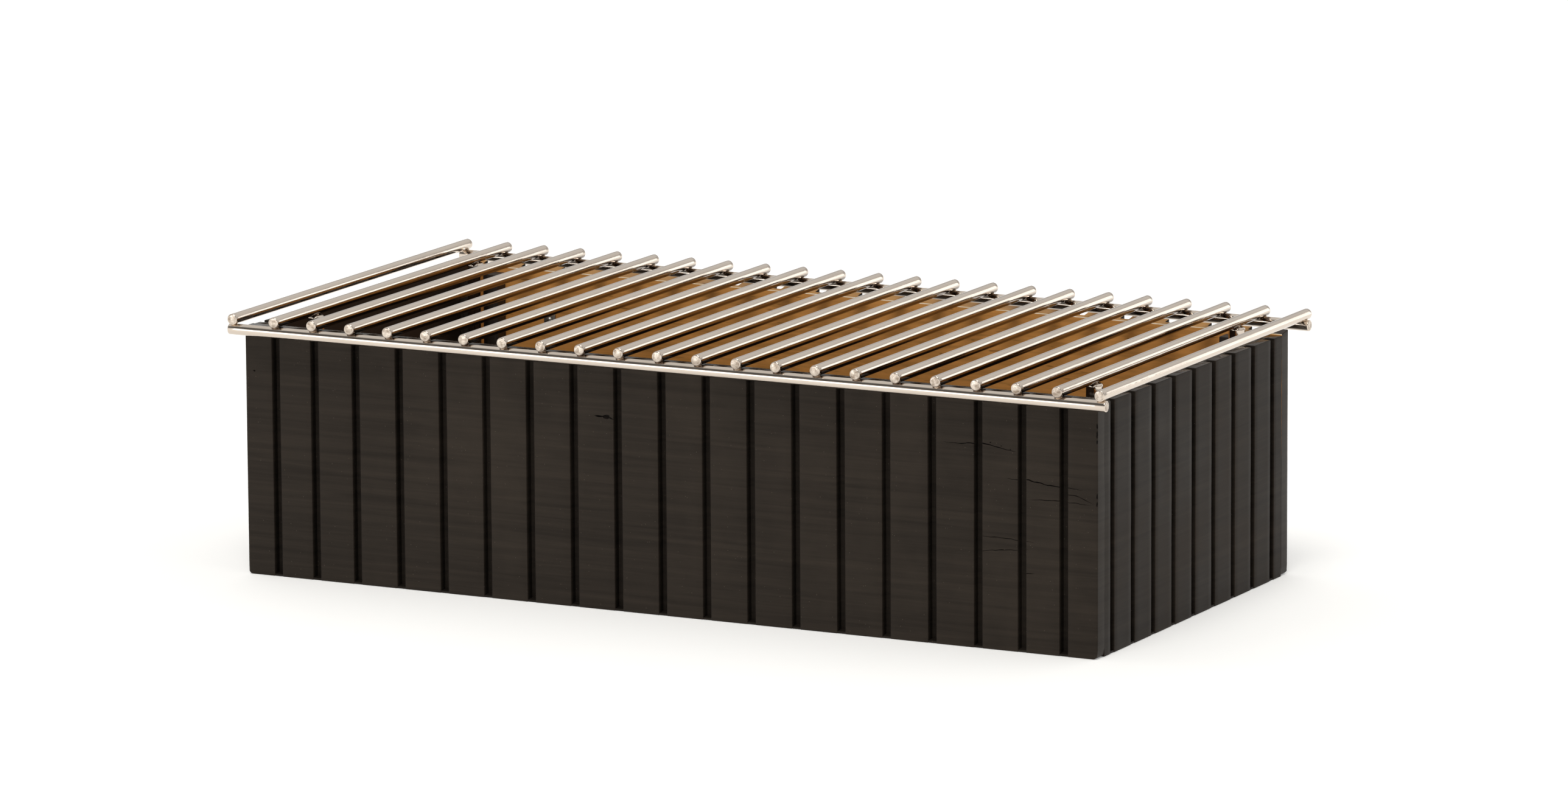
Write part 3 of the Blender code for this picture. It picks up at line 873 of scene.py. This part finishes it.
# ---------------------------------------------------------------- rods and rails
def bar_rings(axis, centre, half, radius, seed):
    """Rings of a round bar: domed, uneven end faces with eased edges, and a faint waviness.

    Each ring comes from a station of (place, radius, kind), where kind 1 is the end face.
    """
    stations = []
    for share in (0.15, 0.45, 0.75):
        bulge = BAR_DOME * share ** 2
        stations.append((-half + bulge, share * (radius - BAR_EDGE), 1))
    for angle in (0, 30, 60, 90):
        turn = math.radians(angle)
        inset = BAR_DOME + BAR_EDGE * (1 - math.cos(turn))
        size = radius - BAR_EDGE + BAR_EDGE * math.sin(turn)
        stations.append((-half + inset, size, 1 if angle < 30 else 0))
    straight = half - BAR_EDGE - BAR_DOME
    for index in range(1, BAR_RINGS):
        stations.append((-straight + 2 * straight * index / BAR_RINGS, radius, 0))
    stations += [(-place, size, kind) for place, size, kind in reversed(stations[:7])]
    rings = []
    for place, size, kind in stations:
        ring = []
        for side in range(BAR_SIDES):
            angle = 2 * math.pi * side / BAR_SIDES
            way = (math.cos(angle), math.sin(angle))
            sample = Vector((way[0] * 0.5, way[1] * 0.5, place * 55)) + Vector((seed, 0, 0))
            swell = noise.noise(sample) * BAR_WOBBLE
            reach = size + (swell if kind == 0 else swell * 0.5)
            rough = noise.noise(Vector((way[0] * size * 350, way[1] * size * 350, seed)))
            shift = END_FACE_WOBBLE * rough if kind == 1 else 0.0
            end = math.copysign(shift, place) * (1 if rough > 0 else -1)
            across = (way[0] * reach, way[1] * reach)
            if axis == 0:
                ring.append((centre[0] + place - end, centre[1] + across[0], centre[2] + across[1]))
            else:
                ring.append((centre[0] + across[1], centre[1] + place - end, centre[2] + across[0]))
        rings.append(ring)
    kinds = [min(here[2], following[2]) for here, following in zip(stations, stations[1:])]
    return np.array(rings), kinds


def build_bar(node, axis, materials, seed, rise):
    """A round bar along X (axis 0) or Y (axis 1) in the place of a CAD one."""
    low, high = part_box(node)
    centre = (low + high) / 2
    half = (high[axis] - low[axis]) / 2
    radius = (high.z - low.z) / 2
    centre.z += rise
    rings, kinds = bar_rings(axis, centre, half, radius, seed)
    faces, numbers = loft(rings, ring_kinds=kinds, cap_kind=1)
    mesh = skin_mesh(node + "_detail", [(rings.reshape(-1, 3), faces, numbers)])
    shade_round(mesh, 50)
    finish_piece(make_object(node + "_detail", mesh, materials), "rack", "chrome", node)


def build_bars():
    end = nickel_end()
    rod_metal = nickel("nickel_rod", (520, 9, 520), painted_underside=ROD_PAINTED_UNDERSIDE)
    outer_metal = nickel("nickel_outer_rod", (520, 9, 520))
    rail_metal = nickel("nickel_rail", (9, 520, 520), 0.7)
    for index, node in enumerate(ROD_NAMES):
        metal = outer_metal if node in (ROD_NAMES[0], ROD_NAMES[-1]) else rod_metal
        build_bar(node, 1, [metal, end], 11.0 + index * 7.3, -ROD_SINK)
    for index, node in enumerate(RAIL_NAMES):
        rise = FRONT_RAIL_RISE if node == "front_rail" else 0.0
        build_bar(node, 0, [rail_metal, end], 301.0 + index * 17.0, rise)


def weld_rings(place, under, over, reach, seed):
    """A concave ring of weld between a lower surface and an upper one."""
    rings = []
    for share in (0.0, 0.12, 0.3, 0.5, 0.7, 0.88, 1.0):
        ring = []
        waist = 1 - 0.34 * math.sin(math.pi * share)
        for side in range(WELD_SIDES):
            angle = 2 * math.pi * side / WELD_SIDES
            lump = noise.noise(Vector((math.cos(angle) * 1.4, math.sin(angle) * 1.4, seed)))
            size = reach * waist * (1 + 0.18 * lump)
            x = size * math.cos(angle)
            y = size * math.sin(angle)
            bottom = under(x, y) - WELD_BURY
            top = over(x, y) + WELD_BURY
            ring.append((place[0] + x, place[1] + y, bottom + (top - bottom) * share))
        rings.append(ring)
    return np.array(rings)


def build_welds():
    """Weld where each rod crosses a rail, and round the head of each leg."""
    metal = weld_metal()
    rod_low, rod_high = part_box(ROD_NAMES[0])
    rod_radius = (rod_high.z - rod_low.z) / 2
    rod_level = (rod_high.z + rod_low.z) / 2 - ROD_SINK

    def rod_underside(x, y):
        return rod_level - math.sqrt(max(rod_radius ** 2 - x * x, 0.0))

    for rail in RAIL_NAMES:
        low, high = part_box(rail)
        rail_radius = (high.z - low.z) / 2
        level = (high.z + low.z) / 2

        def rail_top(x, y, level=level, rail_radius=rail_radius):
            return level + math.sqrt(max(rail_radius ** 2 - y * y, 0.0))

        groups = []
        for index, rod in enumerate(ROD_NAMES):
            rod_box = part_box(rod)
            place = ((rod_box[0].x + rod_box[1].x) / 2, (low.y + high.y) / 2)
            reach = WELD_RADIUS * (1 + 0.16 * math.sin(index * 2.3 + len(rail)))
            rings = weld_rings(place, rail_top, rod_underside, reach, index * 1.9 + len(rail))
            groups.append(lofted(rings))
        mesh = skin_mesh(rail + "_welds", groups)
        shade_round(mesh, 60)
        finish_piece(make_object(rail + "_welds", mesh, [metal]), "rack", "chrome")
    groups = []
    for index, node in enumerate(LEG_NAMES):
        low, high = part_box(node)
        place = ((low.x + high.x) / 2, (low.y + high.y) / 2)
        head = high.z

        def leg_head(x, y, head=head):
            return head

        rings = weld_rings(place, leg_head, rod_underside, LEG_WELD_RADIUS, 70.0 + index)
        groups.append(lofted(rings))
    mesh = skin_mesh("leg_welds", groups)
    shade_round(mesh, 60)
    finish_piece(make_object("leg_welds", mesh, [metal]), "rack", "chrome")


# ---------------------------------------------------------------- legs and feet
def turned_mesh(name, centre, profile, sides, seed, wobble):
    """A profile of (radius, height) points turned about an upright axis."""
    rings = []
    for radius, height in profile:
        ring = []
        for side in range(sides):
            angle = 2 * math.pi * side / sides
            sample = Vector((math.cos(angle), math.sin(angle), height * 40 + seed))
            reach = radius + (noise.noise(sample) * wobble if radius > 0.002 else 0.0)
            ring.append((centre[0] + reach * math.cos(angle),
                         centre[1] + reach * math.sin(angle), height))
        rings.append(ring)
    mesh = skin_mesh(name, [lofted(np.array(rings))])
    face_outwards(mesh)
    shade_round(mesh, 45)
    return mesh


def build_legs():
    metal = nickel("nickel_leg", (420, 420, 9), 0.8)
    pad = rubber()
    for index, node in enumerate(LEG_NAMES):
        low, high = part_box(node)
        centre = ((low.x + high.x) / 2, (low.y + high.y) / 2)
        radius = (high.x - low.x) / 2
        bend = (radius - LEG_SHOULDER, high.z - LEG_SHOULDER)
        head = arc_points(bend, LEG_SHOULDER, 90, 0, 8)
        profile = [(0.0005, high.z), (radius * 0.4, high.z)] + head
        profile += [(radius, height) for height in even_steps(bend[1], low.z, 0.008)]
        profile += arc_points((radius - 0.0004, low.z + 0.0004), 0.0004, 0, -90, 3)
        bore = radius - LEG_WALL
        profile += [(bore, low.z), (bore, low.z + 0.008), (bore, low.z + 0.02),
                    (0.0005, low.z + 0.02)]
        mesh = turned_mesh(node + "_detail", centre, profile, 56, index * 9.0, 0.00003)
        finish_piece(make_object(node + "_detail", mesh, [metal]), "rack", "chrome", node)
    for index, node in enumerate(FOOT_NAMES):
        low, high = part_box(node)
        centre = ((low.x + high.x) / 2, (low.y + high.y) / 2)
        radius = (high.x - low.x) / 2
        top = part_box(node.replace("foot", "leg"))[0].z - 0.0003
        stem = radius - 0.003
        profile = [(0.0005, high.z), (stem - 0.001, high.z), (stem, high.z - 0.001), (stem, top)]
        profile += arc_points((radius - 0.0012, top - 0.0012), 0.0012, 90, 0, 4)
        waist = (top + low.z) / 2
        profile += [(radius - 0.0003, waist + 0.0003), (radius - 0.0003, waist - 0.0003)]
        profile += arc_points((radius - 0.0012, low.z + 0.0012), 0.0012, 0, -90, 4)
        profile += [(radius * 0.5, low.z), (0.0005, low.z)]
        mesh = turned_mesh(node + "_detail", centre, profile, 48, index * 5.0 + 3, 0.00004)
        finish_piece(make_object(node + "_detail", mesh, [pad]), "rack", "rubber", node)


# ---------------------------------------------------------------- small plate and its screw
def build_plate():
    metal = plate_steel()
    low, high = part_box("wall_plate")
    screw_low, screw_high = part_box("wall_plate_screw")
    centre = (low + high) / 2
    shape = bmesh.new()
    bmesh.ops.create_cube(shape, size=1.0)
    bmesh.ops.scale(shape, vec=high - low, verts=shape.verts)
    bmesh.ops.translate(shape, vec=centre, verts=shape.verts)
    upright = [line for line in shape.edges
               if abs(line.verts[0].co.y - line.verts[1].co.y) > 0.001]
    bmesh.ops.bevel(shape, geom=upright, offset=0.0015, segments=4, affect="EDGES", profile=0.5)
    bmesh.ops.bevel(shape, geom=list(shape.edges), offset=0.0003, segments=2, affect="EDGES",
                    profile=0.5)
    mesh = bpy.data.meshes.new("wall_plate_detail")
    shape.to_mesh(mesh)
    shape.free()
    plate = make_object("wall_plate_detail", mesh, [metal])
    hole = round_cutter("plate_hole", 0.0019, 0.02, (centre.x, centre.y, centre.z), metal)
    cut_away(plate, hole)
    shade_round(plate.data, 45)
    finish_piece(plate, "box", "plated_steel", "wall_plate")
    build_screw(metal, screw_low, screw_high, low.y)


def round_cutter(name, radius, length, place, metal):
    shape = bmesh.new()
    turn = Matrix.Translation(place) @ Matrix.Rotation(math.radians(90), 4, "X")
    bmesh.ops.create_cone(shape, cap_ends=True, segments=28, radius1=radius, radius2=radius,
                          depth=length, matrix=turn)
    mesh = bpy.data.meshes.new(name)
    shape.to_mesh(mesh)
    shape.free()
    return make_object(name, mesh, [metal])


def build_screw(metal, low, high, seat):
    """A domed cross-head screw whose head sits on the plate and faces -Y."""
    radius = (high.x - low.x) / 2
    centre = ((low.x + high.x) / 2, (low.z + high.z) / 2)
    dome = seat - low.y
    profile = []
    for angle in range(4, 91, 8):
        turn = math.radians(angle)
        profile.append((radius * math.sin(turn), low.y + dome * (1 - math.cos(turn))))
    profile += [(radius, seat - 0.0001), (0.0014, seat - 0.0001), (0.0014, high.y - 0.002),
                (0.0002, high.y)]
    rings = []
    for size, y in profile:
        ring = []
        for side in range(32):
            angle = 2 * math.pi * side / 32
            ring.append((centre[0] + size * math.cos(angle), y, centre[1] + size * math.sin(angle)))
        rings.append(ring)
    mesh = skin_mesh("wall_plate_screw_detail", [lofted(np.array(rings))])
    face_outwards(mesh)
    screw = make_object("wall_plate_screw_detail", mesh, [metal])
    for turn in (20, 110):
        shape = bmesh.new()
        bmesh.ops.create_cube(shape, size=1.0)
        bmesh.ops.scale(shape, vec=(radius * 1.1, 0.0022, 0.0006), verts=shape.verts)
        place = Matrix.Translation((centre[0], low.y, centre[1]))
        bmesh.ops.transform(shape, matrix=place @ Matrix.Rotation(math.radians(turn), 4, "Y"),
                            verts=shape.verts)
        slot_mesh = bpy.data.meshes.new("screw_slot")
        shape.to_mesh(slot_mesh)
        shape.free()
        cut_away(screw, make_object("screw_slot", slot_mesh, [metal]))
    shade_round(screw.data, 40)
    finish_piece(screw, "box", "plated_steel", "wall_plate_screw")


# ---------------------------------------------------------------- studio
def build_studio():
    shape = bmesh.new()
    bmesh.ops.create_circle(shape, cap_ends=True, segments=96, radius=FLOOR_RADIUS)
    mesh = bpy.data.meshes.new("studio_floor")
    shape.to_mesh(mesh)
    shape.free()
    floor = make_object("studio_floor", mesh, [studio_floor()])
    floor.location = (0.0, 0.0, FRONT_LOW.z - FLOOR_GAP)

    build_world()
    sun_data = bpy.data.lights.new("soft_sun", "SUN")
    sun_data.energy = SUN_STRENGTH
    sun_data.angle = math.radians(SUN_WIDTH)
    sun_data.color = (1.0, 0.975, 0.94)
    sun = bpy.data.objects.new("soft_sun", sun_data)
    sun.rotation_euler = Vector(SUN_FROM).to_track_quat("Z", "Y").to_euler()
    sun.visible_camera = False
    bpy.context.scene.collection.objects.link(sun)
    for name, place, width, height, brightness in SOFT_BOXES:
        data = bpy.data.lights.new(name, "AREA")
        data.shape = "RECTANGLE"
        data.size = width
        data.size_y = height
        data.energy = brightness * math.pi * width * height
        box = bpy.data.objects.new(name, data)
        box.location = place
        away = Vector(place) - Vector(BOX_TARGET)
        box.rotation_euler = away.to_track_quat("Z", "Y").to_euler()
        box.visible_camera = False
        bpy.context.scene.collection.objects.link(box)


def build_world():
    """Bright at the horizon and overhead, with the darker room between them at the front."""
    world = bpy.data.worlds.new("studio_world")
    world.use_nodes = True
    tree = world.node_tree
    background = tree.nodes["Background"]
    split = tree.nodes.new("ShaderNodeSeparateXYZ")
    tree.links.new(tree.nodes.new("ShaderNodeTexCoord").outputs["Generated"],
                   split.inputs["Vector"])

    def shades(*stops):
        ramp = tree.nodes.new("ShaderNodeValToRGB")
        elements = ramp.color_ramp.elements
        while len(elements) < len(stops):
            elements.new(0.5)
        for element, (position, value) in zip(elements, stops):
            element.position = position
            element.color = (*(value * tint for tint in WORLD_TINT), 1.0)
        tree.links.new(split.outputs["Z"], ramp.inputs["Fac"])
        return ramp.outputs["Color"]

    back = shades((0.0, 0.72), (0.16, 0.58), (0.30, 0.50), (0.42, 0.74), (1.0, 0.78))
    front = shades((0.0, 1.30), (0.20, 0.90), (0.44, 0.12), (0.86, 0.12), (0.96, 0.72))
    side = tree.nodes.new("ShaderNodeMapRange")
    side.inputs["From Min"].default_value = -0.15
    side.inputs["From Max"].default_value = -0.45
    tree.links.new(split.outputs["Y"], side.inputs["Value"])
    blend = tree.nodes.new("ShaderNodeMix")
    blend.data_type = "RGBA"
    tree.links.new(side.outputs["Result"], blend.inputs[0])
    tree.links.new(back, blend.inputs[6])
    tree.links.new(front, blend.inputs[7])
    tree.links.new(blend.outputs[2], background.inputs["Color"])
    bpy.context.scene.world = world


def build_camera():
    azimuth = math.radians(CAMERA_AZIMUTH)
    elevation = math.radians(CAMERA_ELEVATION)
    roll = math.radians(CAMERA_ROLL)
    back = Vector((math.sin(azimuth) * math.cos(elevation),
                   -math.cos(azimuth) * math.cos(elevation), math.sin(elevation)))
    right = (-back).cross(Vector((0, 0, 1))).normalized()
    up = right.cross(-back)
    across = right * math.cos(roll) + up * math.sin(roll)
    upward = up * math.cos(roll) - right * math.sin(roll)
    data = bpy.data.cameras.new("camera")
    data.lens = CAMERA_LENS
    data.sensor_width = SENSOR_WIDTH
    data.clip_end = 300.0
    camera = bpy.data.objects.new("camera", data)
    turn = Matrix((across, upward, back)).transposed().to_4x4()
    camera.matrix_world = Matrix.Translation(CAMERA_PLACE) @ turn
    bpy.context.scene.collection.objects.link(camera)
    bpy.context.scene.camera = camera


def build():
    build_panels()
    build_floor_and_blocks()
    build_bars()
    build_welds()
    build_legs()
    build_plate()
    build_studio()
    build_camera()
    bpy.context.scene.view_settings.view_transform = "Standard"


build()
